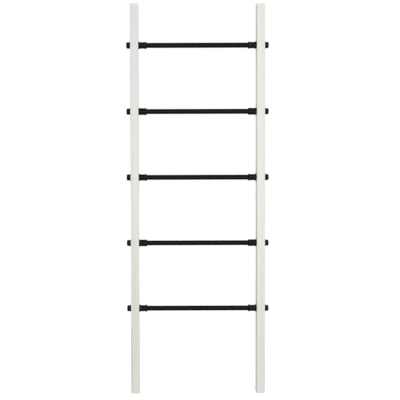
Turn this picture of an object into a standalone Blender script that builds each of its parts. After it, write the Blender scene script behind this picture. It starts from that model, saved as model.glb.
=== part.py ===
"""Blanket ladder: two square timber rails joined by five rungs of half-inch iron pipe.

Each rung is a length of pipe with a coupling screwed on each end. A short nipple runs from
each coupling through a hole in the rail into a domed cap, and the coupling and the cap clamp
the rail between them. The ladder stands on its two rail ends.

Frame: the origin is on the floor, midway between the rails. +Z runs up the rails, +X to the
right as seen from the front, and the front faces -Y. All sizes are in metres.
"""

import math

import bmesh
import bpy
from mathutils import Matrix

# Timber rails
RAIL_HEIGHT = 1.676
RAIL_WIDTH = 0.035
RAIL_DEPTH = 0.035
RAIL_EDGE_EASE = 0.0015
HOLE_CLEARANCE = 0.0004

# Rung layout
RUNG_COUNT = 5
LOWEST_RUNG_HEIGHT = 0.367
TOP_RUNG_BELOW_END = 0.1745

# Half-inch pipe, for the rungs and the nipples
PIPE_DIAMETER = 0.02134
PIPE_WALL = 0.00277
PIPE_LENGTH = 0.4572
PIPE_END_CHAMFER = 0.0008

# Couplings
COUPLING_LENGTH = 0.0343
COUPLING_WALL = 0.0024
COUPLING_BAND_WIDTH = 0.0063
COUPLING_BAND_HEIGHT = 0.0018
COUPLING_BAND_EASE = 0.0007
COUPLING_RIB_WIDTH = 0.0042
COUPLING_RIB_HEIGHT = 0.0012

# Caps
CAP_WALL = 0.0021
CAP_END_WALL = 0.0045
CAP_BORE_SPARE = 0.0018
CAP_BAND_WIDTH = 0.0048
CAP_BAND_HEIGHT = 0.0012
CAP_BAND_EASE = 0.0006
CAP_DOME_HEIGHT = 0.0034

# How far each thread is screwed in
PIPE_IN_COUPLING = 0.0095
NIPPLE_IN_COUPLING = 0.0169
NIPPLE_IN_CAP = 0.011

# The space left between faces that touch, and around each thread
GAP = 0.0003

# How far the ribs of each rung's couplings are turned from level, from the lowest rung up
RIB_TURNS_DEGREES = (15.0, 90.0, -30.0, 90.0, 30.0)

ROUND_SEGMENTS = 24
DOME_STEPS = 4
SHARP_ANGLE = math.radians(32.0)

# Sizes that follow from those above
RAIL_GAP = PIPE_LENGTH + 2 * (COUPLING_LENGTH - PIPE_IN_COUPLING + GAP)
NIPPLE_LENGTH = NIPPLE_IN_COUPLING + GAP + RAIL_WIDTH + GAP + NIPPLE_IN_CAP
PIPE_RADIUS = PIPE_DIAMETER / 2
THREAD_BORE_RADIUS = PIPE_RADIUS + GAP
CAP_BORE_DEPTH = NIPPLE_IN_CAP + CAP_BORE_SPARE
CAP_LENGTH = CAP_BORE_DEPTH + CAP_END_WALL
RUNG_SPACING = (RAIL_HEIGHT - LOWEST_RUNG_HEIGHT - TOP_RUNG_BELOW_END) / (RUNG_COUNT - 1)

SIDES = (("left", -1), ("right", 1))


def clear_scene():
    """Remove every object that the file opened with."""
    for item in list(bpy.data.objects):
        bpy.data.objects.remove(item, do_unlink=True)


def new_collection(name):
    """Make a collection in the scene."""
    collection = bpy.data.collections.new(name)
    bpy.context.scene.collection.children.link(collection)
    return collection


def make_material(name, colour, roughness, metallic):
    """Make a plain surface with one colour."""
    material = bpy.data.materials.new(name)
    material.use_nodes = True
    shader = material.node_tree.nodes["Principled BSDF"]
    shader.inputs["Base Color"].default_value = (*colour, 1.0)
    shader.inputs["Roughness"].default_value = roughness
    shader.inputs["Metallic"].default_value = metallic
    material.diffuse_color = (*colour, 1.0)
    return material


def make_guide(name, mesh, collection):
    """Put a construction solid in the scene as a wire outline that isn't part of the ladder."""
    guide = bpy.data.objects.new(name, mesh)
    guide.display_type = "WIRE"
    guide.hide_render = True
    collection.objects.link(guide)
    return guide


def box_mesh(name, size):
    """Make a box centred on the origin."""
    shape = bmesh.new()
    bmesh.ops.create_cube(shape, size=1.0, matrix=Matrix.Diagonal((*size, 1.0)))
    mesh = bpy.data.meshes.new(name)
    shape.to_mesh(mesh)
    shape.free()
    return mesh


def rod_mesh(name, radius, length):
    """Make a solid round rod along Z, centred on the origin."""
    shape = bmesh.new()
    bmesh.ops.create_cone(
        shape, cap_ends=True, segments=ROUND_SEGMENTS,
        radius1=radius, radius2=radius, depth=length,
    )
    mesh = bpy.data.meshes.new(name)
    shape.to_mesh(mesh)
    shape.free()
    return mesh


def turned_guide(name, profile, closed, collection):
    """Revolve a (radius, height) profile about Z; it runs down its outer side."""
    points = [(radius, 0.0, height) for radius, height in profile]
    edges = [(i, i + 1) for i in range(len(points) - 1)]
    if closed:
        edges.append((len(points) - 1, 0))
    mesh = bpy.data.meshes.new(name)
    mesh.from_pydata(points, edges, [])
    guide = make_guide(name, mesh, collection)
    screw = guide.modifiers.new("Revolve", "SCREW")
    screw.axis = "Z"
    screw.steps = ROUND_SEGMENTS
    screw.render_steps = ROUND_SEGMENTS
    screw.use_merge_vertices = True
    screw.merge_threshold = 0.00001
    return guide


def add_boolean(target, cutter, operation):
    """Cut a solid from an object, or join one to it."""
    modifier = target.modifiers.new(f"{operation.title()} {cutter.name}", "BOOLEAN")
    modifier.operation = operation
    modifier.solver = "EXACT"
    modifier.object = cutter


def finished_mesh(guide, name):
    """Turn an object with its modifiers into one smooth-shaded mesh that copies can share."""
    bpy.context.view_layer.update()
    evaluated = guide.evaluated_get(bpy.context.evaluated_depsgraph_get())
    mesh = bpy.data.meshes.new_from_object(evaluated)
    mesh.name = name
    mesh.shade_smooth()
    mesh.set_sharp_from_angle(angle=SHARP_ANGLE)
    return mesh


def mirrored_ends(half_profile):
    """Complete an outer profile that is the same at both ends from its upper half."""
    return half_profile + [(radius, -height) for radius, height in reversed(half_profile)]


def tube_mesh(name, length, guides):
    """Make a length of pipe along Z with its thread ends chamfered."""
    upper = [
        (PIPE_RADIUS - PIPE_WALL, length / 2),
        (PIPE_RADIUS - PIPE_END_CHAMFER, length / 2),
        (PIPE_RADIUS, length / 2 - PIPE_END_CHAMFER),
    ]
    return finished_mesh(turned_guide(f"{name}_profile", mirrored_ends(upper), True, guides), name)


def coupling_mesh(guides):
    """Make a coupling along Z: a body with a raised band at each end and two straight ribs."""
    body_radius = THREAD_BORE_RADIUS + COUPLING_WALL
    band_radius = body_radius + COUPLING_BAND_HEIGHT
    end = COUPLING_LENGTH / 2
    band_edge = end - COUPLING_BAND_WIDTH
    upper = [
        (0.0, end),
        (band_radius - COUPLING_BAND_EASE, end),
        (band_radius, end - COUPLING_BAND_EASE),
        (band_radius, band_edge + COUPLING_BAND_HEIGHT / 2),
        (body_radius, band_edge - COUPLING_BAND_HEIGHT / 2),
    ]
    coupling = turned_guide("coupling_outside", mirrored_ends(upper), False, guides)
    rib_size = (2 * (body_radius + COUPLING_RIB_HEIGHT), COUPLING_RIB_WIDTH, 2 * band_edge)
    ribs = make_guide("coupling_ribs", box_mesh("coupling_ribs", rib_size), guides)
    bore_rod = rod_mesh("coupling_bore", THREAD_BORE_RADIUS, 2 * COUPLING_LENGTH)
    bore = make_guide("coupling_bore", bore_rod, guides)
    add_boolean(coupling, ribs, "UNION")
    add_boolean(coupling, bore, "DIFFERENCE")
    return finished_mesh(coupling, "coupling")


def cap_mesh(guides):
    """Make a cap along Z, with its mouth at the origin and its domed end up."""
    body_radius = THREAD_BORE_RADIUS + CAP_WALL
    band_radius = body_radius + CAP_BAND_HEIGHT
    dome_foot = CAP_LENGTH - CAP_DOME_HEIGHT
    dome = [
        (body_radius * math.sin(angle), dome_foot + CAP_DOME_HEIGHT * math.cos(angle))
        for angle in (math.pi / 2 * step / DOME_STEPS for step in range(DOME_STEPS + 1))
    ]
    band = [
        (body_radius, CAP_BAND_WIDTH + CAP_BAND_HEIGHT / 2),
        (band_radius, CAP_BAND_WIDTH - CAP_BAND_HEIGHT / 2),
        (band_radius, CAP_BAND_EASE),
        (band_radius - CAP_BAND_EASE, 0.0),
    ]
    bore = [
        (THREAD_BORE_RADIUS, 0.0),
        (THREAD_BORE_RADIUS, CAP_BORE_DEPTH),
        (0.0, CAP_BORE_DEPTH),
    ]
    return finished_mesh(turned_guide("cap_profile", dome + band + bore, False, guides), "cap")


def place(name, mesh, material, collection, parent, location, turn):
    """Add one piece of the ladder to its parent, at a place and a turn."""
    piece = bpy.data.objects.new(name, mesh)
    collection.objects.link(piece)
    if not mesh.materials:
        mesh.materials.append(material)
    piece.parent = parent
    piece.matrix_local = Matrix.Translation(location) @ turn
    return piece


def rung_heights():
    """List the height of each rung's centreline, from the lowest up."""
    return [LOWEST_RUNG_HEIGHT + RUNG_SPACING * index for index in range(RUNG_COUNT)]


def make_drills(guides):
    """Make one long drill for each rung, which cuts its hole through both rails."""
    radius = PIPE_RADIUS + HOLE_CLEARANCE
    drill_mesh = rod_mesh("rail_drill", radius, RAIL_GAP + 4 * RAIL_WIDTH)
    drills = []
    for number, height in enumerate(rung_heights(), start=1):
        drill = make_guide(f"rail_drill_{number}", drill_mesh, guides)
        along_x = Matrix.Rotation(math.pi / 2, 4, "Y")
        drill.matrix_world = Matrix.Translation((0.0, 0.0, height)) @ along_x
        drills.append(drill)
    return drills


def make_rails(ladder, guides, root, material):
    """Make the two square rails, with eased edges and a hole for each rung."""
    drills = make_drills(guides)
    rail_mesh = box_mesh("rail", (RAIL_WIDTH, RAIL_DEPTH, RAIL_HEIGHT))
    for side, sign in SIDES:
        centre = (sign * (RAIL_GAP + RAIL_WIDTH) / 2, 0.0, RAIL_HEIGHT / 2)
        rail = place(f"{side}_rail", rail_mesh, material, ladder, root, centre, Matrix())
        ease = rail.modifiers.new("Eased edges", "BEVEL")
        ease.width = RAIL_EDGE_EASE
        ease.segments = 2
        for drill in drills:
            add_boolean(rail, drill, "DIFFERENCE")


def make_rung(number, height, meshes, materials, ladder, root):
    """Make one rung: its pipe, then a coupling, a nipple and a cap at each end."""
    centre = bpy.data.objects.new(f"rung_{number}_centre", None)
    centre.location = (0.0, 0.0, height)
    centre.parent = root
    ladder.objects.link(centre)
    along_x = Matrix.Rotation(math.pi / 2, 4, "Y")
    place(f"rung_{number}_pipe", meshes["pipe"], materials["steel"],
          ladder, centre, (0.0, 0.0, 0.0), along_x)

    inner_face = RAIL_GAP / 2
    outer_face = inner_face + RAIL_WIDTH
    coupling_at = inner_face - GAP - COUPLING_LENGTH / 2
    nipple_at = outer_face + GAP + NIPPLE_IN_CAP - NIPPLE_LENGTH / 2
    cap_at = outer_face + GAP
    rib_angle = RIB_TURNS_DEGREES[(number - 1) % len(RIB_TURNS_DEGREES)]
    rib_turn = Matrix.Rotation(math.radians(rib_angle), 4, "X")
    level_ribs = Matrix.Rotation(math.pi / 2, 4, "Z")
    for side, sign in SIDES:
        outward = Matrix.Rotation(sign * math.pi / 2, 4, "Y")
        place(f"rung_{number}_coupling_{side}", meshes["coupling"], materials["iron"],
              ladder, centre, (sign * coupling_at, 0.0, 0.0), rib_turn @ outward @ level_ribs)
        place(f"rung_{number}_nipple_{side}", meshes["nipple"], materials["steel"],
              ladder, centre, (sign * nipple_at, 0.0, 0.0), outward)
        place(f"rung_{number}_cap_{side}", meshes["cap"], materials["iron"],
              ladder, centre, (sign * cap_at, 0.0, 0.0), outward)


def main():
    """Build the ladder."""
    clear_scene()
    ladder = new_collection("blanket_ladder")
    guides = new_collection("construction")
    root = bpy.data.objects.new("ladder_origin", None)
    ladder.objects.link(root)
    materials = {
        "timber": make_material("whitewashed_timber", (0.76, 0.75, 0.69), 0.62, 0.0),
        "steel": make_material("black_steel_pipe", (0.013, 0.013, 0.014), 0.42, 0.0),
        "iron": make_material("black_cast_iron", (0.011, 0.011, 0.012), 0.5, 0.0),
    }
    meshes = {
        "pipe": tube_mesh("pipe", PIPE_LENGTH, guides),
        "nipple": tube_mesh("nipple", NIPPLE_LENGTH, guides),
        "coupling": coupling_mesh(guides),
        "cap": cap_mesh(guides),
    }
    make_rails(ladder, guides, root, materials["timber"])
    for number, height in enumerate(rung_heights(), start=1):
        make_rung(number, height, meshes, materials, ladder, root)


main()
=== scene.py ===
"""Blanket ladder: fine meshes, materials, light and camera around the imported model.

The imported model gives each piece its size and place. Every node is replaced by a piece of the
same size with a smoother, more detailed surface. All sizes are in metres. +Z is up and the
front faces -Y.
"""

import math

import bmesh
import bpy
import numpy as np
from mathutils import Matrix, Vector, noise


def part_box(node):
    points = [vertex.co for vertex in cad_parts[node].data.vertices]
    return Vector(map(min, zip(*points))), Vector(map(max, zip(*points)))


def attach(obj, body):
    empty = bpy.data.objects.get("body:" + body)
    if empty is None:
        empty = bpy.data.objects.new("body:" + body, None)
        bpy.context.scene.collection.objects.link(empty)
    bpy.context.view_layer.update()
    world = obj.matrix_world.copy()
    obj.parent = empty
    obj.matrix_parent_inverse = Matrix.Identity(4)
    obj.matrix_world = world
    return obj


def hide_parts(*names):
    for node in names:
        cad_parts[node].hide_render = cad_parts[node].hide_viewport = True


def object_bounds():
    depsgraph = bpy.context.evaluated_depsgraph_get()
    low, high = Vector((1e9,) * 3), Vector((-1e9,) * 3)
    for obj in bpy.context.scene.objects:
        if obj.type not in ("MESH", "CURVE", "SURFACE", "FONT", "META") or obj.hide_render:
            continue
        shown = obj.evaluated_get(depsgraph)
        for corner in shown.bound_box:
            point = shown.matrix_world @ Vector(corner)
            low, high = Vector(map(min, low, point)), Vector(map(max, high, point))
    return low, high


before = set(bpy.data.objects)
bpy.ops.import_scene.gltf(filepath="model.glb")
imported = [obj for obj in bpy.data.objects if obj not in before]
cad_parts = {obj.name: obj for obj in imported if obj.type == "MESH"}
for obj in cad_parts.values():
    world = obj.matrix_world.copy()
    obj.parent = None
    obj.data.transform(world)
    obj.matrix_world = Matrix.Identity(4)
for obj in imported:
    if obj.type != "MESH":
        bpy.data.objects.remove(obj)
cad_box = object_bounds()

# The ladder's sides, and which way along X is outward there
SIDES = {"left": -1, "right": 1}
# Rungs are numbered from 1, the lowest
RUNG_COUNT = sum(name.endswith("_pipe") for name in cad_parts)

# Camera and light
CAMERA_DISTANCE = 2.3
CAMERA_LEFT_OF_CENTRE = 0.161
CAMERA_AIM_DROP = 0.0015
CAMERA_PITCH = math.radians(1.09)
CAMERA_ROLL = math.radians(0.17)
CAMERA_LENS_MM = 47.87
CAMERA_SENSOR_MM = 36.0
CAMERA_SHIFT_X = 0.0992
WORLD_SEEN = 1.0
WORLD_LIGHT = 0.6
WORLD_REFLECTED = 0.06
KEY_RIGHT = 8.0
KEY_UP = 45.0
KEY_STRENGTH = 1.63
KEY_SOFTNESS = 45.0
SOFTBOX_SIZE = (1.8, 1.0)
SOFTBOX_DISTANCE = 3.0
# Each softbox's turn to the right of the front, its height angle, and its brightness
SOFTBOXES = (
    (4.0, 2.0, 2.6), (50.0, 22.0, 1.6), (130.0, 22.0, 1.6),
    (176.0, 12.0, 2.4), (-130.0, 22.0, 1.6), (-50.0, 22.0, 1.6),
)
FLOOR_DROP = 0.0006
FLOOR_SIZE = 80.0
FLOOR_DARK = (0.335, 0.335, 0.335)
FLOOR_LIGHT = (0.345, 0.345, 0.345)
FLOOR_GLOW = 0.74

# Timber rails
RAIL_EASE = 0.0017
RAIL_EASE_STEPS = 4
RAIL_ACROSS_STEP = 0.0012
RAIL_ALONG_STEP = 0.005
HOLE_CLEARANCE = 0.0004
HOLE_SEGMENTS = 72
PLANED_DEPTH = 0.00007
GRAIN_DEPTH = 0.00005
WEAR_DEPTH = 0.0011
DENT_START = 0.42
DENT_DEPTH = 0.0045
RING_WIDTH = 0.0031
WORN_EDGE_WIDTH = 0.0022
MARK_FADE = 0.05
EARLYWOOD_COLOUR = (0.56, 0.44, 0.29)
LATEWOOD_COLOUR = (0.34, 0.23, 0.13)
KNOT_COLOUR = (0.20, 0.14, 0.075)
BLOTCH_TINT = (0.985, 0.985, 0.93)
STREAK_TINT = (0.935, 0.94, 0.95)

# Each rail's own looks. The seed varies its wear, and the pith is the tree's centre as seen from
# the rail's own centre. The tones are the colour at the foot, the middle and the top, darker towards
# the foot.
# Knots are (x, z, radius) on the front, and stains and shading are (x, half width, lowest z,
# highest z, tint) of faint upright marks on the front: tints in the paint, broad darkenings, and
# painted shade along each rail's outer edge.
RAIL_LOOKS = {
    "left": {
        "seed": 3.1,
        "pith": (-0.052, 0.061),
        "tones": ((0.618, 0.625, 0.578), (0.720, 0.732, 0.693), (0.700, 0.705, 0.712)),
        "knots": ((-0.0028, 0.148, 0.0050), (-0.006, 0.93, 0.003), (0.009, 1.41, 0.0025)),
        "stains_and_shading": (
            # Painted shade: a darker line down the left edge near the foot, for the eased edge turned
            # from the light
            (-0.0175, 0.0075, 0.01, 0.32, (0.62, 0.65, 0.64)),
            (0.0085, 0.0070, -0.05, 0.22, (1.03, 0.985, 0.965)),
            (-0.0040, 0.0080, 0.31, 0.42, (1.02, 0.98, 0.95)),
            (0.0070, 0.0070, 0.23, 0.43, (0.985, 1.01, 0.95)),
            # Darker from 0.36 m to 0.70 m up, most towards the left edge
            (-0.0040, 0.0320, 0.36, 0.70, (0.955, 0.960, 0.965)),
            (0.0145, 0.0070, 0.39, 0.68, (1.02, 1.045, 0.98)),
            (0.0090, 0.0060, 0.75, 0.98, (0.98, 1.0, 0.95)),
            # Darker towards the left edge, from the middle to the top
            (-0.0175, 0.0350, 0.60, 1.75, (0.945, 0.945, 0.955)),
        ),
    },
    "right": {
        "seed": 8.7,
        "pith": (0.064, 0.047),
        "tones": ((0.658, 0.671, 0.645), (0.748, 0.760, 0.732), (0.738, 0.746, 0.713)),
        "knots": ((0.006, 0.575, 0.003), (0.003, 0.41, 0.0025), (0.006, 1.20, 0.003)),
        "stains_and_shading": (
            (-0.0010, 0.0090, 0.10, 0.20, (0.98, 0.99, 0.95)),
            (-0.0130, 0.0080, 1.60, 1.75, (1.0, 0.99, 0.955)),
            # Painted shade: a slightly darker band along the right edge, for the eased edge in shade
            (0.0175, 0.0250, 0.00, 1.75, (0.975, 0.975, 0.975)),
        ),
    },
}

# Pipe and nipples
PIPE_WALL = 0.00277
PIPE_SEGMENTS = 72
PIPE_END_CHAMFER = 0.0008
THREAD_PITCH = 0.001814
THREAD_DEPTH = 0.0007
THREAD_STEP = THREAD_PITCH / 7
THREAD_SHOWN = 0.0016
PIPE_STEP = 0.012
ROUNDING = 1e-6

# Couplings
COUPLING_WALL = 0.0024
COUPLING_BAND_WIDTH = 0.0063
COUPLING_BAND_HEIGHT = 0.0018
COUPLING_RIB_WIDTH = 0.0042
COUPLING_RIB_HEIGHT = 0.0012
COUPLING_FILLET = 0.0014
COUPLING_BORE_FILLET = 0.0004
RIB_SEGMENTS = 14
# A rib's section, in halves of its width: its flat top, its fall, and where its points end
RIB_FLAT = 0.4
RIB_FALL = 0.75
RIB_REACH = 1.3
SKIN_MARGIN = 0.0001
# How far each rung's coupling ribs are turned up from level, rung 1 first
RIB_TURNS_DEGREES = (15.0, 90.0, -30.0, 90.0, 30.0)

# Caps
CAP_WALL = 0.0021
CAP_BAND_WIDTH = 0.0048
CAP_BAND_HEIGHT = 0.0012
CAP_DOME_HEIGHT = 0.0034
CAP_END_WALL = 0.0045
CAP_FILLET = 0.0012
CAP_MOUTH_FILLET = 0.0003
CAP_BORE_FILLET = 0.0015
CAP_BORE_STEP = 0.003
DOME_BLUNTNESS = 0.85
DOME_STEPS = 14

# Black paint on the pipe and the fittings
BLACK = (0.0039, 0.0039, 0.0040)
CLOUDED_BLACK = (0.0062, 0.0062, 0.0063)
DUST_COLOUR = (0.016, 0.016, 0.016)
WORN_COLOUR = (0.045, 0.044, 0.043)

# Fittings of both kinds, and the angle from which any piece's edge stays sharp
FITTING_SEGMENTS = 96
FITTING_STEP = 0.0009
CAST_UNEVENNESS = 0.00022
FILLET_STEPS = 6
SHARP_ANGLE = math.radians(38.0)

# The rails' map: how full a column is, and where the ends and the holes lie in the last column
MAP_NAME = "OFBake"
MAP_MARGIN = 0.012
LENGTHS_PER_SIDE = 4
COLUMN_FILL = 0.94
END_PLACE = 0.06
END_STEP = 0.12
END_SPAN = 0.08
HOLE_PLACE = 0.32
HOLE_STEP = 0.14
HOLE_SPAN = 0.05


# Shapes ------------------------------------------------------------------------------------


def wave(x, y, z):
    """Give smooth noise from -1 to 1 at a point."""
    return noise.noise(Vector((x, y, z)))


def new_piece(name, mesh, material, node):
    """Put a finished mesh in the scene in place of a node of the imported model."""
    mesh.shade_smooth()
    mesh.set_sharp_from_angle(angle=SHARP_ANGLE)
    mesh.materials.clear()
    mesh.materials.append(material)
    piece = bpy.data.objects.new(name, mesh)
    bpy.context.scene.collection.objects.link(piece)
    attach(piece, "root")
    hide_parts(node)
    return piece


def lattice(half, ease, step):
    """Positions from -half to half, close together on the eased edges and even between them."""
    flat = half - ease
    edge = flat + ease * np.arange(1, RAIL_EASE_STEPS + 1) / RAIL_EASE_STEPS
    count = max(1, round(2 * flat / step))
    return np.concatenate([-edge[::-1], np.linspace(-flat, flat, count + 1), edge])


def eased_box(half_sizes, ease, steps):
    """Make the points, outward normals and quads of a box with rounded edges."""
    axes = [lattice(half, ease, step) for half, step in zip(half_sizes, steps)]
    last = [len(axis) - 1 for axis in axes]
    index = {}
    quads = []

    def corner(key):
        return index.setdefault(key, len(index))

    for axis in range(3):
        across, along = (axis + 1) % 3, (axis + 2) % 3
        for end in (0, last[axis]):
            for i in range(last[across]):
                for j in range(last[along]):
                    quad = []
                    for di, dj in ((0, 0), (1, 0), (1, 1), (0, 1)):
                        key = [0, 0, 0]
                        key[axis], key[across], key[along] = end, i + di, j + dj
                        quad.append(corner(tuple(key)))
                    quads.append(quad if end else quad[::-1])
    keys = np.array(list(index))
    square = np.stack([axes[axis][keys[:, axis]] for axis in range(3)], axis=1)
    inner = np.array(half_sizes) - ease
    core = np.clip(square, -inner, inner)
    outward = square - core
    outward /= np.linalg.norm(outward, axis=1, keepdims=True)
    return core + ease * outward, outward, quads


def timber_relief(point, outward, seed):
    """How far below its nominal face a rail's surface lies, at a point on the rail."""
    x, y, z = point
    planed = PLANED_DEPTH * (1 + wave(x * 55 + seed, y * 55, z * 8))
    grain = GRAIN_DEPTH * (1 + wave(x * 420, y * 420 + seed, z * 9))
    on_edge = 1 - max(abs(outward[0]), abs(outward[1]), abs(outward[2]))
    worn = WEAR_DEPTH * on_edge * (1 + wave(x * 30 + seed, y * 30, z * 14))
    dent = max(0.0, wave(x * 90, y * 90 + seed, z * 55) - DENT_START)
    return planed + grain + worn + DENT_DEPTH * on_edge * dent


def drill_holes(mesh, centres, radius, depth):
    """Cut round holes along X through a rail's mesh."""
    shape = bmesh.new()
    for centre in centres:
        along_x = Matrix.Translation(centre) @ Matrix.Rotation(math.pi / 2, 4, "Y")
        bmesh.ops.create_cone(
            shape, segments=HOLE_SEGMENTS, radius1=radius, radius2=radius, depth=depth,
            cap_ends=True, matrix=along_x,
        )
    drill_mesh = bpy.data.meshes.new("drills")
    shape.to_mesh(drill_mesh)
    shape.free()
    rail = bpy.data.objects.new("rail_blank", mesh)
    drills = bpy.data.objects.new("drills", drill_mesh)
    for item in (rail, drills):
        bpy.context.scene.collection.objects.link(item)
    cut = rail.modifiers.new("Rung holes", "BOOLEAN")
    cut.operation = "DIFFERENCE"
    cut.solver = "EXACT"
    cut.object = drills
    drilled = bpy.data.meshes.new_from_object(
        rail.evaluated_get(bpy.context.evaluated_depsgraph_get())
    )
    for item in (rail, drills):
        bpy.data.objects.remove(item)
    return drilled


def numbers(items, field, width=1, kind=float):
    """Read one field of every item of a mesh, a row to an item."""
    values = np.empty(len(items) * width, dtype=kind)
    items.foreach_get(field, values)
    return values.reshape(-1, width) if width > 1 else values


def angle_round(points, centres):
    """Give the angle of each point round a centre, seen along X and measured from straight up."""
    away = points[:, 1:] - centres
    return np.arctan2(away[:, 0], away[:, 1])


def find_hole_walls(face_middle, facing, hole_centres, width):
    """Say which faces are the wall of a hole, and which hole is nearest to each face."""
    nearest = np.argmin(np.abs(face_middle[:, 2:] - hole_centres[:, 1]), axis=1)
    away = face_middle[:, 1:] - hole_centres[nearest]
    return (facing[:, 0] < 0.5) & (np.hypot(away[:, 0], away[:, 1]) < width / 3), nearest


def map_rail(mesh, low, high, holes):
    """Lay a rail's faces out in columns, so that one square map covers them evenly.

    Each long side is cut into four lengths, one to a column. The last column holds the two
    ends and the walls of the holes.
    """
    middle = np.array((low + high) / 2)
    width = high.x - low.x
    piece_length = (high.z - low.z) / LENGTHS_PER_SIDE
    columns = 4 * LENGTHS_PER_SIDE + 1
    face_middle = numbers(mesh.polygons, "center", 3)
    normal = numbers(mesh.polygons, "normal", 3)
    facing = np.abs(normal)

    # What each face belongs to: a hole's wall, an end, or a side and one of its lengths
    hole_centres = np.array([(hole.y, hole.z) for hole in holes])
    in_hole, nearest = find_hole_walls(face_middle, facing, hole_centres, width)
    at_end = (facing[:, 2] > 0.7) & ~in_hole
    on_front_or_back = facing[:, 1] > facing[:, 0]
    front_or_back = np.where(normal[:, 1] < 0, 0, 2)
    right_or_left = np.where(normal[:, 0] > 0, 1, 3)
    side = np.where(on_front_or_back, front_or_back, right_or_left)
    part = np.clip((face_middle[:, 2] - low.z) // piece_length, 0, LENGTHS_PER_SIDE - 1)

    # Where each corner of each face goes in the face's column
    owner = np.repeat(np.arange(len(mesh.polygons)), numbers(mesh.polygons, "loop_total", 1, int))
    point = numbers(mesh.vertices, "co", 3)[numbers(mesh.loops, "vertex_index", 1, int)]
    column = np.where(at_end | in_hole, columns - 1, side * LENGTHS_PER_SIDE + part)[owner]
    sideways = (~on_front_or_back & ~at_end & ~in_hole)[owner]
    across = np.where(sideways, point[:, 1] - middle[1], point[:, 0] - middle[0]) / width
    along = (point[:, 2] - low.z) / piece_length - part[owner]
    side_v = MAP_MARGIN + (1 - 2 * MAP_MARGIN) * along
    at_top = face_middle[owner, 2] > middle[2]
    end_v = END_PLACE + END_STEP * at_top + END_SPAN * (point[:, 1] - middle[1]) / width
    face_turn = angle_round(face_middle, hole_centres[nearest])[owner]
    turn = angle_round(point, hole_centres[nearest[owner]])
    turn = (turn - face_turn + math.pi) % (2 * math.pi) - math.pi + face_turn
    hole_v = HOLE_PLACE + HOLE_STEP * nearest[owner] + HOLE_SPAN * turn / math.pi
    v = np.where(at_end[owner], end_v, np.where(in_hole[owner], hole_v, side_v))
    u = (column + 0.5 + COLUMN_FILL * across) / columns
    mesh.uv_layers.new(name=MAP_NAME).data.foreach_set("uv", np.stack([u, v], axis=1).ravel())


def make_rail(side, material):
    """Make one timber rail, with eased and lightly worn edges and its drilled holes."""
    node = f"{side}_rail"
    seed = RAIL_LOOKS[side]["seed"]
    low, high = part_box(node)
    middle = (low + high) / 2
    half_sizes = [(high[axis] - low[axis]) / 2 for axis in range(3)]
    steps = (RAIL_ACROSS_STEP, RAIL_ACROSS_STEP, RAIL_ALONG_STEP)
    points, outward, quads = eased_box(half_sizes, RAIL_EASE, steps)
    relief = np.array([
        timber_relief(point, direction, seed) for point, direction in zip(points, outward)
    ])
    standing = points[:, 2] < -half_sizes[2] + RAIL_EASE / 2
    relief[standing] = 0.0
    points = points - outward * relief[:, None] + np.array(middle)
    blank = bpy.data.meshes.new(node)
    blank.from_pydata(points.tolist(), [], quads)
    holes = []
    for number in range(1, RUNG_COUNT + 1):
        rung_low, rung_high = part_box(f"rung_{number}_pipe")
        holes.append(Vector((middle.x, (rung_low.y + rung_high.y) / 2, (rung_low.z + rung_high.z) / 2)))
    radius = (rung_high.z - rung_low.z) / 2 + HOLE_CLEARANCE
    mesh = drill_holes(blank, holes, radius, 2 * (high.x - low.x))
    map_rail(mesh, low, high, holes)
    new_piece(f"{node}_timber", mesh, material, node)


def rounded_path(corners, closed, step):
    """Run a line through (x, radius, fillet) corners with each fillet as an arc.

    Straight stretches are divided so that no part is longer than the step.
    """
    line = []
    count = len(corners)
    for i, (x, radius, fillet) in enumerate(corners):
        here = Vector((x, radius))
        if fillet == 0:
            line.append(here)
            continue
        towards_last = (Vector(corners[i - 1][:2]) - here).normalized()
        towards_next = (Vector(corners[(i + 1) % count][:2]) - here).normalized()
        half_angle = towards_last.angle(towards_next) / 2
        centre = here + (towards_last + towards_next).normalized() * fillet / math.sin(half_angle)
        start = here + towards_last * fillet / math.tan(half_angle) - centre
        end = here + towards_next * fillet / math.tan(half_angle) - centre
        sweep = start.angle_signed(end)
        for k in range(FILLET_STEPS + 1):
            turned = start.copy()
            turned.rotate(Matrix.Rotation(-sweep * k / FILLET_STEPS, 2))
            line.append(centre + turned)
    pairs = list(zip(line, line[1:] + line[:1] if closed else line[1:]))
    path = []
    for first, second in pairs:
        parts = max(1, math.ceil((second - first).length / step))
        path += [first.lerp(second, k / parts) for k in range(parts)]
    if not closed:
        path.append(line[-1])
    return np.array(path)


def turned_mesh(name, x, radius, angles, centre, closed):
    """Skin a surface that runs round the X axis through a centre.

    x and radius have a row for each point of the outline and a column for each angle. The
    angle is measured from straight up. An open outline starts and ends on the axis.
    """
    rows, columns = radius.shape
    points = np.stack([
        np.broadcast_to(x, radius.shape),
        centre.y + radius * np.sin(angles),
        centre.z + radius * np.cos(angles),
    ], axis=2).reshape(-1, 3)
    number = np.arange(rows * columns).reshape(rows, columns)
    if closed:
        number = np.vstack([number, number[:1]])
    here, beside = number, np.roll(number, -1, axis=1)
    quads = np.stack([here[:-1], beside[:-1], beside[1:], here[1:]], axis=2).reshape(-1, 4)
    mesh = bpy.data.meshes.new(name)
    mesh.from_pydata(points.tolist(), [], quads.tolist())
    shape = bmesh.new()
    shape.from_mesh(mesh)
    if not closed:
        bmesh.ops.remove_doubles(shape, verts=shape.verts, dist=1e-7)
    bmesh.ops.recalc_face_normals(shape, faces=shape.faces)
    shape.to_mesh(mesh)
    shape.free()
    return mesh


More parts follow.
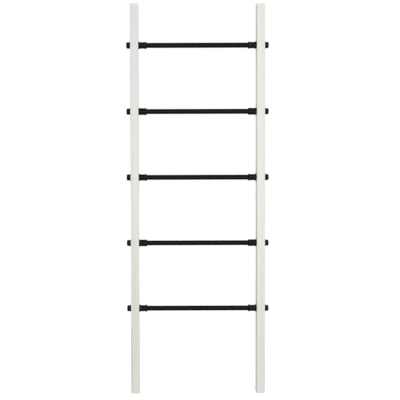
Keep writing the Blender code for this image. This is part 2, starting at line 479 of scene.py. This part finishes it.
def cast_skin(x, radius, angles, centre, depth):
    """Give how far each point of a cast surface is lowered, unevenly and by at most the depth."""
    uneven = np.zeros_like(radius)
    for i, j in np.ndindex(radius.shape):
        y = centre.y + radius[i, j] * math.sin(angles[j])
        z = centre.z + radius[i, j] * math.cos(angles[j])
        broad = wave(x[i] * 170, y * 170, z * 170)
        fine = wave(x[i] * 620, y * 620, z * 620)
        uneven[i, j] = depth * (0.5 + 0.3 * broad + 0.2 * fine)
    return uneven


def smooth_step(value):
    """Ease from 0 to 1 as the value does."""
    value = np.clip(value, 0.0, 1.0)
    return value * value * (3 - 2 * value)


def mark_crests(mesh, centre, body_radius, crest_radius):
    """Store how near each point is to the fitting's widest radius, where paint wears first."""
    store = mesh.attributes.new("crest", "FLOAT", "POINT")
    for vertex, mark in zip(mesh.vertices, store.data):
        radius = math.hypot(vertex.co.y - centre.y, vertex.co.z - centre.z)
        mark.value = min(1.0, max(0.0, (radius - body_radius) / (crest_radius - body_radius)))


def even_angles(count):
    """Angles all the way round, evenly spaced."""
    return np.arange(count) * (2 * math.pi / count)


def tube_outline(low, high, inner, outer, threads):
    """Give a tube's outline as (x, radius) points, close together along its threads."""
    chamfer = PIPE_END_CHAMFER
    low_thread_end = low.x + threads[0]
    high_thread_end = high.x - threads[1]
    plain = rounded_path([
        (low.x, inner, 0.0), (low.x, outer - chamfer, 0.0), (low.x + chamfer, outer, 0.0),
        (low_thread_end, outer, 0.0), (high_thread_end, outer, 0.0),
        (high.x - chamfer, outer, 0.0), (high.x, outer - chamfer, 0.0), (high.x, inner, 0.0),
    ], False, PIPE_STEP)
    outline = [plain[0]]
    for first, second in zip(plain, plain[1:]):
        outside = min(first[1], second[1]) > inner + chamfer
        in_low_thread = second[0] <= low_thread_end + ROUNDING
        in_high_thread = first[0] >= high_thread_end - ROUNDING
        parts = 1
        if outside and (in_low_thread or in_high_thread):
            parts = max(1, math.ceil(abs(second[0] - first[0]) / THREAD_STEP))
        outline += [first + (second - first) * (k + 1) / parts for k in range(parts)]
    return np.array(outline)


def make_tube(node, threads, material):
    """Make a pipe or nipple: a smooth tube with a helical thread at each end.

    threads gives each thread's length, at the low X end and at the high X end.
    """
    low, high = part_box(node)
    centre = (low + high) / 2
    outer = (high.z - low.z) / 2
    inner = outer - PIPE_WALL
    outline = tube_outline(low, high, inner, outer, threads)
    angles = even_angles(PIPE_SEGMENTS)
    x = outline[:, 0]
    radius = np.repeat(outline[:, 1:2], PIPE_SEGMENTS, axis=1)

    # A groove winds along the outside, and runs out towards the inner end of each thread
    turn = x[:, None] / THREAD_PITCH - angles[None, :] / (2 * math.pi)
    groove = np.abs((turn % 1.0) * 2 - 1)
    runout = 2 * THREAD_PITCH
    near_low = smooth_step((low.x + threads[0] - x) / runout)
    near_high = smooth_step((x - high.x + threads[1]) / runout)
    on_outside = outline[:, 1] > inner + PIPE_END_CHAMFER
    depth = THREAD_DEPTH * np.maximum(near_low, near_high) * on_outside
    radius -= depth[:, None] * groove
    mesh = turned_mesh(node, x[:, None], radius, angles, centre, True)
    new_piece(f"{node}_painted", mesh, material, node)


def make_coupling(node, rib_turn, material):
    """Make a coupling: a cast body with a rolled band at each end and two straight ribs."""
    low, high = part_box(node)
    centre = (low + high) / 2
    band = (high.z - low.z) / 2
    body = band - COUPLING_BAND_HEIGHT
    bore = body - COUPLING_WALL
    left_edge = low.x + COUPLING_BAND_WIDTH
    right_edge = high.x - COUPLING_BAND_WIDTH
    slope = COUPLING_BAND_HEIGHT / 2
    path = rounded_path([
        (low.x, bore, COUPLING_BORE_FILLET), (low.x, band, COUPLING_FILLET),
        (left_edge - slope, band, COUPLING_FILLET), (left_edge + slope, body, COUPLING_FILLET),
        (right_edge - slope, body, COUPLING_FILLET), (right_edge + slope, band, COUPLING_FILLET),
        (high.x, band, COUPLING_FILLET), (high.x, bore, COUPLING_BORE_FILLET),
    ], True, FITTING_STEP)
    half_width = COUPLING_RIB_WIDTH / 2 / body
    beside_ribs = np.linspace(-RIB_REACH, RIB_REACH, RIB_SEGMENTS + 1) * half_width
    angles = np.concatenate([even_angles(FITTING_SEGMENTS), beside_ribs, beside_ribs + math.pi])
    angles = np.unique(np.round(np.mod(angles, 2 * math.pi), 5))
    from_rib = np.minimum(np.mod(angles, math.pi), math.pi - np.mod(angles, math.pi)) / half_width
    rib = body + COUPLING_RIB_HEIGHT * (1 - smooth_step((from_rib - RIB_FLAT) / RIB_FALL))
    x = path[:, 0]
    radius = np.repeat(path[:, 1:2], len(angles), axis=1)
    outside = path[:, 1] > body - SKIN_MARGIN
    between_bands = outside & (x > left_edge - slope) & (x < right_edge + slope)
    radius[between_bands] = np.maximum(radius[between_bands], rib)
    turned = angles + math.pi / 2 - rib_turn
    radius[outside] -= cast_skin(x[outside], radius[outside], turned, centre, CAST_UNEVENNESS)
    mesh = turned_mesh(node, x[:, None], radius, turned, centre, True)
    mark_crests(mesh, centre, body, band)
    new_piece(f"{node}_cast", mesh, material, node)


def make_cap(node, outward, material):
    """Make a cap: a band at its mouth, a short cast body and a domed end."""
    low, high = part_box(node)
    centre = (low + high) / 2
    band = (high.z - low.z) / 2
    body = band - CAP_BAND_HEIGHT
    bore = body - CAP_WALL
    length = high.x - low.x
    slope = CAP_BAND_HEIGHT / 2
    dome_foot = length - CAP_DOME_HEIGHT
    bore_depth = length - CAP_END_WALL
    outside = rounded_path([
        (0.0, bore, CAP_MOUTH_FILLET), (0.0, band, CAP_FILLET),
        (CAP_BAND_WIDTH - slope, band, CAP_FILLET), (CAP_BAND_WIDTH + slope, body, CAP_FILLET),
        (dome_foot, body, 0.0),
    ], False, FITTING_STEP)
    dome_turns = np.linspace(0.0, math.pi / 2, DOME_STEPS + 1)[1:]
    dome = np.stack([
        dome_foot + CAP_DOME_HEIGHT * np.sin(dome_turns) ** DOME_BLUNTNESS,
        body * np.maximum(np.cos(dome_turns), 0.0) ** DOME_BLUNTNESS,
    ], axis=1)
    dome[-1, 1] = 0.0
    inside = rounded_path([
        (bore_depth, 0.0, 0.0), (bore_depth, bore, CAP_BORE_FILLET), (0.0, bore, 0.0),
    ], False, CAP_BORE_STEP)[:-1]
    path = np.vstack([inside, outside, dome])
    x = path[:, 0] if outward > 0 else -path[:, 0]
    x = x + (low.x if outward > 0 else high.x)
    angles = even_angles(FITTING_SEGMENTS)
    radius = np.repeat(path[:, 1:2], FITTING_SEGMENTS, axis=1)
    cast = np.zeros(len(path), dtype=bool)
    cast[len(inside) + FILLET_STEPS:-1] = True
    radius[cast] -= cast_skin(x[cast], radius[cast], angles, centre, CAST_UNEVENNESS)
    radius = np.maximum(radius, 0.0)
    mesh = turned_mesh(node, x[:, None], radius, angles, centre, False)
    mark_crests(mesh, centre, body, band)
    new_piece(f"{node}_cast", mesh, material, node)


# Materials ---------------------------------------------------------------------------------


class Surface:
    """A material with one Principled BSDF, and short calls to add nodes in front of it."""

    def __init__(self, name):
        self.material = bpy.data.materials.new(name)
        self.material.use_nodes = True
        self.tree = self.material.node_tree
        self.shader = self.tree.nodes["Principled BSDF"]

    def give(self, socket, value):
        """Set a socket to a number or a colour, or link it to another node's output."""
        if isinstance(value, bpy.types.NodeSocket):
            self.tree.links.new(value, socket)
        elif isinstance(value, tuple) and len(value) == 3 and socket.type == "RGBA":
            socket.default_value = (*value, 1.0)
        else:
            socket.default_value = value

    def node(self, kind, inputs, **settings):
        """Add a node with some of its inputs given by name or by number."""
        made = self.tree.nodes.new(kind)
        for name, value in settings.items():
            setattr(made, name, value)
        for name, value in inputs.items():
            self.give(made.inputs[name], value)
        return made

    def place(self, scale, offset=(0.0, 0.0, 0.0)):
        """Give the position on the object, stretched and moved."""
        coordinates = self.node("ShaderNodeTexCoord", {}).outputs["Object"]
        return self.node("ShaderNodeMapping", {
            "Vector": coordinates, "Location": offset, "Scale": scale,
        }).outputs["Vector"]

    def noise(self, scale, detail=3.0, roughness=0.5, offset=(0.0, 0.0, 0.0)):
        """Give noise from 0 to 1 whose scale may differ along X, Y and Z."""
        return self.node("ShaderNodeTexNoise", {
            "Vector": self.place(scale, offset), "Scale": 1.0,
            "Detail": detail, "Roughness": roughness,
        }).outputs["Fac"]

    def math(self, operation, first, second=0.0, clamp=False):
        """Combine two numbers."""
        return self.node("ShaderNodeMath", {0: first, 1: second},
                         operation=operation, use_clamp=clamp).outputs[0]

    def spread(self, value, low, high, to_low=0.0, to_high=1.0):
        """Stretch the range low to high over another range, smoothly, and hold it beyond."""
        return self.node("ShaderNodeMapRange", {
            "Value": value, "From Min": low, "From Max": high,
            "To Min": to_low, "To Max": to_high,
        }, interpolation_type="SMOOTHSTEP").outputs["Result"]

    def mix(self, share, first, second, blend="MIX"):
        """Mix two colours."""
        return self.node("ShaderNodeMix", {0: share, 6: first, 7: second},
                         data_type="RGBA", blend_type=blend).outputs[2]

    def tint(self, share, colour, tint):
        """Multiply a colour by a tint, as far as the share says."""
        return self.mix(share, colour, self.mix(1.0, colour, tint, "MULTIPLY"))

    def bump(self, height, distance, strength):
        """Raise the surface by a height from 0 to 1."""
        return self.node("ShaderNodeBump", {
            "Height": height, "Distance": distance, "Strength": strength,
        }).outputs["Normal"]

    def finish(self, colour, roughness, normal):
        """Link the colour, roughness and normal to the shader."""
        self.give(self.shader.inputs["Base Color"], colour)
        self.give(self.shader.inputs["Roughness"], roughness)
        self.give(self.shader.inputs["Normal"], normal)
        return self.material


def growth_rings(surface, point, centre_x, ripple, look):
    """Give a point's place from one growth ring to the next, and how far it lies in a knot.

    The rings run round the pith, unevenly along the rail, and bend around the knots.
    """
    x, y, z = point
    pith_x, pith_y = look["pith"]
    from_pith = surface.node("ShaderNodeCombineXYZ", {
        "X": surface.math("SUBTRACT", x, pith_x), "Y": surface.math("SUBTRACT", y, pith_y),
    }).outputs["Vector"]
    ring = surface.node("ShaderNodeVectorMath", {0: from_pith}, operation="LENGTH").outputs["Value"]
    drift = surface.noise((9.0, 9.0, 1.7), 2.0, 0.5, (centre_x * 7, 0.3, 0.0))
    ring = surface.math("ADD", ring, surface.math("MULTIPLY", drift, 0.022))
    ring = surface.math("ADD", ring, surface.math("MULTIPLY", ripple, 0.0022))
    knot_mark = 0.0
    for knot_x, knot_z, knot_radius in look["knots"]:
        across = surface.math("SUBTRACT", x, knot_x)
        along = surface.math("MULTIPLY", surface.math("SUBTRACT", z, knot_z), 0.55)
        across_squared = surface.math("MULTIPLY", across, across)
        along_squared = surface.math("MULTIPLY", along, along)
        apart = surface.math("SQRT", surface.math("ADD", across_squared, along_squared))
        swirl = surface.spread(apart, 0.0, 4.5 * knot_radius, 0.011, 0.0)
        ring = surface.math("ADD", ring, swirl)
        core = surface.spread(apart, 0.35 * knot_radius, 1.25 * knot_radius, 1.0, 0.0)
        knot_mark = surface.math("MAXIMUM", knot_mark, core)
    return surface.math("FRACT", surface.math("DIVIDE", ring, RING_WIDTH)), knot_mark


def near_long_edge(surface, point, half_width):
    """Give how close a point is to one of the rail's long edges."""
    start = half_width - WORN_EDGE_WIDTH
    near_x, near_y = (
        surface.spread(surface.math("ABSOLUTE", across), start, half_width) for across in point[:2]
    )
    return surface.math("MULTIPLY", near_x, near_y)


def across_the_grain(surface):
    """Give how squarely the surface faces up or down, as the rail's ends do."""
    facing = surface.node("ShaderNodeSeparateXYZ", {
        "Vector": surface.node("ShaderNodeNewGeometry", {}).outputs["Normal"],
    }).outputs["Z"]
    return surface.spread(surface.math("ABSOLUTE", facing), 0.6, 0.9)


def lay_stains_and_shading(surface, paint, point, half_width, stains_and_shading):
    """Lay faint upright marks on the rail's front, which fade out just round its corners: tints in the
    paint, broad darkenings and painted shade along the outer edge.
    """
    x, y, z = point
    on_front = surface.spread(y, -0.9 * half_width, -0.5 * half_width, 1.0, 0.0)
    for mark_x, reach, lowest, highest, tint in stains_and_shading:
        apart = surface.math("ABSOLUTE", surface.math("SUBTRACT", x, mark_x))
        mark = surface.math("MULTIPLY", on_front, surface.spread(apart, 0.0, reach, 1.0, 0.0))
        above = surface.spread(z, lowest, lowest + MARK_FADE)
        below = surface.spread(z, highest - MARK_FADE, highest, 1.0, 0.0)
        mark = surface.math("MULTIPLY", mark, surface.math("MULTIPLY", above, below))
        # Each mark tints the paint: some are stains, some painted shade along the outer edge
        paint = surface.tint(mark, paint, tint)
    return paint


def white_paint_and_shade(surface, point, centre_x, half_width, height, look):
    """Give the paint's colour: its tone at each height, its blotches, streaks and stains, and painted
    shade along the rail's outer edge.
    """
    x, y, z = point
    streak = surface.noise((130.0, 130.0, 1.1), 2.0, 0.5, (centre_x * 5, 0.4, 0.0))
    blotch = surface.noise((22.0, 22.0, 5.5), 2.0, 0.5, (0.0, centre_x * 9, 0.0))
    foot, middle, top = look["tones"]
    # From the foot to the middle the colour grows lighter, and it changes again towards the top
    paint = surface.mix(surface.spread(z, 0.08 * height, 0.56 * height), foot, middle)
    paint = surface.mix(surface.spread(z, 0.45 * height, height), paint, top)
    paint = surface.tint(surface.spread(blotch, 0.35, 0.7, 0.0, 0.5), paint, BLOTCH_TINT)
    paint = surface.tint(surface.spread(streak, 0.35, 0.65), paint, STREAK_TINT)
    wavy_x = surface.math("ADD", x, surface.spread(blotch, 0.2, 0.8, -0.0015, 0.0015))
    return lay_stains_and_shading(surface, paint, (wavy_x, y, z), half_width, look["stains_and_shading"])


def whitewashed_timber(name, centre_x, half_width, height, look):
    """Softwood under thin white paint, with its grain, knots and brush marks showing through.

    A point's X is measured from the rail's centre line, its Y from the ladder's middle, and its Z
    from the floor.
    """
    surface = Surface(name)
    position = surface.place((1.0, 1.0, 1.0), (-centre_x, 0.0, 0.0))
    parts = surface.node("ShaderNodeSeparateXYZ", {"Vector": position})
    point = [parts.outputs[axis] for axis in ("X", "Y", "Z")]
    ripple = surface.noise((38.0, 38.0, 6.0), 2.0, 0.5, (centre_x * 3, 0.0, 0.7))
    fibre = surface.noise((1150.0, 1150.0, 16.0), 3.0, 0.6)
    brush = surface.noise((420.0, 420.0, 2.6), 2.0, 0.55, (0.0, 0.0, centre_x * 11))

    ring_phase, knot_mark = growth_rings(surface, point, centre_x, ripple, look)
    latewood = surface.math("MULTIPLY", surface.spread(ring_phase, 0.35, 0.82),
                            surface.spread(ring_phase, 0.88, 1.0, 1.0, 0.0))
    bare = surface.mix(latewood, EARLYWOOD_COLOUR, LATEWOOD_COLOUR)
    bare = surface.mix(surface.math("MULTIPLY", knot_mark, 0.75), bare, KNOT_COLOUR)
    paint = white_paint_and_shade(surface, point, centre_x, half_width, height, look)

    # How thin the paint is: over the latewood, along fibres and brush marks, on knots and edges
    scuffs = surface.spread(ripple, 0.42, 0.68, 0.03, 0.24)
    end_grain = surface.spread(ring_phase, 0.3, 0.85, 0.10, 0.30)
    thin = surface.math("MULTIPLY", latewood, 0.12)
    for share in (
        surface.spread(fibre, 0.5, 0.8, 0.0, 0.14),
        surface.spread(brush, 0.5, 0.85, 0.0, 0.14),
        surface.math("MULTIPLY", knot_mark, 0.12),
        surface.math("MULTIPLY", near_long_edge(surface, point, half_width), scuffs),
        surface.math("MULTIPLY", across_the_grain(surface), end_grain),
    ):
        thin = surface.math("ADD", thin, share)
    colour = surface.mix(surface.math("ADD", thin, 0.015, clamp=True), paint, bare)

    roughness = surface.spread(fibre, 0.3, 0.75, 0.58, 0.74)
    relief = surface.math("ADD", surface.math("MULTIPLY", latewood, 0.35),
                          surface.math("MULTIPLY", fibre, 0.4))
    relief = surface.math("ADD", relief, surface.math("MULTIPLY", brush, 0.45))
    normal = surface.bump(relief, 0.00022, 0.55)
    surface.shader.inputs["Specular IOR Level"].default_value = 0.35
    return surface.finish(colour, roughness, normal)


def black_paint(name, base_roughness, gloss, grain_scale, grain_depth, worn_share):
    """Satin black paint over iron, with a slight texture, dust and wear on its crests."""
    surface = Surface(name)
    grain = surface.noise((grain_scale,) * 3, 3.0, 0.6)
    cloud = surface.noise((95.0, 95.0, 95.0), 3.0, 0.55)
    speck = surface.noise((2600.0, 2600.0, 2600.0), 2.0, 0.5)
    colour = surface.mix(surface.spread(cloud, 0.35, 0.7), BLACK, CLOUDED_BLACK)
    dust = surface.math("MULTIPLY", surface.spread(speck, 0.62, 0.8), 0.35)
    colour = surface.mix(dust, colour, DUST_COLOUR)
    crest = surface.node("ShaderNodeAttribute", {}, attribute_name="crest").outputs["Fac"]
    worn = surface.math("MULTIPLY", surface.spread(crest, 0.75, 1.0),
                        surface.spread(cloud, 0.45, 0.75, 0.0, worn_share))
    colour = surface.mix(worn, colour, WORN_COLOUR)
    roughness = surface.spread(cloud, 0.25, 0.75, base_roughness - 0.06, base_roughness + 0.08)
    normal = surface.bump(grain, grain_depth, 0.6)
    surface.shader.inputs["Specular IOR Level"].default_value = gloss
    return surface.finish(colour, roughness, normal)


def make_materials():
    """Make the two timber surfaces and the two black ones."""
    timber = {}
    for side, look in RAIL_LOOKS.items():
        low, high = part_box(f"{side}_rail")
        timber[side] = whitewashed_timber(
            f"whitewashed_timber_{side}", (low.x + high.x) / 2, (high.x - low.x) / 2, high.z, look,
        )
    return {
        "timber": timber,
        "pipe": black_paint(
            "satin_black_pipe", base_roughness=0.34, gloss=0.24,
            grain_scale=900.0, grain_depth=0.00002, worn_share=0.0,
        ),
        "fitting": black_paint(
            "satin_black_casting", base_roughness=0.38, gloss=0.33,
            grain_scale=1100.0, grain_depth=0.00009, worn_share=0.55,
        ),
    }


# Stage -------------------------------------------------------------------------------------


def make_camera(low, high):
    """Stand the camera in front, a little left of centre and slightly above the middle."""
    middle = (low + high) / 2
    data = bpy.data.cameras.new("camera")
    data.lens = CAMERA_LENS_MM
    data.sensor_width = CAMERA_SENSOR_MM
    data.shift_x = CAMERA_SHIFT_X
    camera = bpy.data.objects.new("camera", data)
    rise = CAMERA_DISTANCE * math.tan(CAMERA_PITCH)
    height = middle.z + rise - CAMERA_AIM_DROP
    camera.location = (middle.x - CAMERA_LEFT_OF_CENTRE, -CAMERA_DISTANCE, height)
    camera.rotation_euler = (math.pi / 2 - CAMERA_PITCH, CAMERA_ROLL, 0.0)
    bpy.context.scene.collection.objects.link(camera)
    bpy.context.scene.camera = camera


def make_sun(name, right, up, strength, softness):
    """Light everything evenly from the front, at an angle to the right and above.

    It gives no highlights: those come from the softboxes.
    """
    data = bpy.data.lights.new(name, "SUN")
    data.energy = strength
    data.angle = math.radians(softness)
    sun = bpy.data.objects.new(name, data)
    sun.rotation_euler = (math.radians(90.0 - up), 0.0, math.radians(right))
    sun.visible_glossy = False
    bpy.context.scene.collection.objects.link(sun)


def make_softbox(name, target, right, up, brightness):
    """Hang a softbox that faces the ladder, turned to the right of the front and raised.

    It gives highlights only, and leaves the rest of the light to the sun and the surround.
    """
    data = bpy.data.lights.new(name, "AREA")
    data.shape = "RECTANGLE"
    data.size, data.size_y = SOFTBOX_SIZE
    data.energy = brightness * math.pi * data.size * data.size_y
    softbox = bpy.data.objects.new(name, data)
    sideways = Matrix.Rotation(math.radians(right), 4, "Z")
    upright = Matrix.Rotation(math.radians(90.0 - up), 4, "X")
    away = Matrix.Translation((0.0, 0.0, SOFTBOX_DISTANCE))
    softbox.matrix_world = Matrix.Translation(target) @ sideways @ upright @ away
    softbox.visible_camera = False
    softbox.visible_diffuse = False
    bpy.context.scene.collection.objects.link(softbox)


def make_world():
    """Make a white surround, which lights the ladder less than it shows and barely reflects."""
    world = bpy.data.worlds.new("white_surround")
    bpy.context.scene.world = world
    world.use_nodes = True
    world.cycles.sampling_method = "NONE"
    tree = world.node_tree
    background = tree.nodes["Background"]
    background.inputs["Color"].default_value = (1.0, 1.0, 1.0, 1.0)
    path = tree.nodes.new("ShaderNodeLightPath")
    strength = WORLD_LIGHT
    for ray, level in (("Is Glossy Ray", WORLD_REFLECTED), ("Is Camera Ray", WORLD_SEEN)):
        choose = tree.nodes.new("ShaderNodeMix")
        tree.links.new(path.outputs[ray], choose.inputs["Factor"])
        if isinstance(strength, float):
            choose.inputs["A"].default_value = strength
        else:
            tree.links.new(strength, choose.inputs["A"])
        choose.inputs["B"].default_value = level
        strength = choose.outputs["Result"]
    tree.links.new(strength, background.inputs["Strength"])


def make_floor():
    """Lay a plain pale floor just under the rails' feet."""
    bpy.ops.mesh.primitive_plane_add(size=FLOOR_SIZE, location=(0.0, 0.0, -FLOOR_DROP))
    floor = bpy.context.object
    floor.name = "floor"
    surface = Surface("pale_floor")
    mottle = surface.noise((3.0, 3.0, 3.0), 2.0)
    shade = surface.spread(mottle, 0.3, 0.7)
    colour = surface.mix(shade, FLOOR_DARK, FLOOR_LIGHT)
    grain = surface.noise((160.0, 160.0, 160.0), 2.0)
    floor.data.materials.append(surface.finish(colour, 0.9, surface.bump(grain, 0.0002, 0.2)))
    surface.shader.inputs["Specular IOR Level"].default_value = 0.0
    surface.shader.inputs["Emission Color"].default_value = (1.0, 1.0, 1.0, 1.0)
    surface.shader.inputs["Emission Strength"].default_value = FLOOR_GLOW
    floor.visible_glossy = False


def make_stage(low, high):
    """Make the camera, the floor and the light."""
    bpy.context.scene.view_settings.view_transform = "Standard"
    make_camera(low, high)
    make_world()
    make_floor()
    middle = (low + high) / 2
    make_sun("key", KEY_RIGHT, KEY_UP, KEY_STRENGTH, KEY_SOFTNESS)
    for number, (right, up, brightness) in enumerate(SOFTBOXES, 1):
        make_softbox(f"softbox_{number}", middle, right, up, brightness)


# The ladder --------------------------------------------------------------------------------


def make_rungs(materials):
    """Make every rung's pipe, couplings, nipples and caps."""
    for number in range(1, RUNG_COUNT + 1):
        rung = f"rung_{number}"
        pipe_low, pipe_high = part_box(f"{rung}_pipe")
        coupling_box = {side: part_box(f"{rung}_coupling_{side}") for side in SIDES}
        engaged = coupling_box["left"][1].x - pipe_low.x
        threads = (engaged + THREAD_SHOWN, pipe_high.x - coupling_box["right"][0].x + THREAD_SHOWN)
        make_tube(f"{rung}_pipe", threads, materials["pipe"])
        rib_turn = math.radians(RIB_TURNS_DEGREES[(number - 1) % len(RIB_TURNS_DEGREES)])
        for side, outward in SIDES.items():
            nipple_low, nipple_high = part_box(f"{rung}_nipple_{side}")
            rail_low, rail_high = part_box(f"{side}_rail")
            ends = (rail_low.x - nipple_low.x, nipple_high.x - rail_high.x)
            make_tube(f"{rung}_nipple_{side}", ends, materials["pipe"])
            make_coupling(f"{rung}_coupling_{side}", rib_turn, materials["fitting"])
            make_cap(f"{rung}_cap_{side}", outward, materials["fitting"])


def main():
    """Build the stage and the ladder."""
    make_stage(*cad_box)
    materials = make_materials()
    for side in SIDES:
        make_rail(side, materials["timber"][side])
    make_rungs(materials)


main()
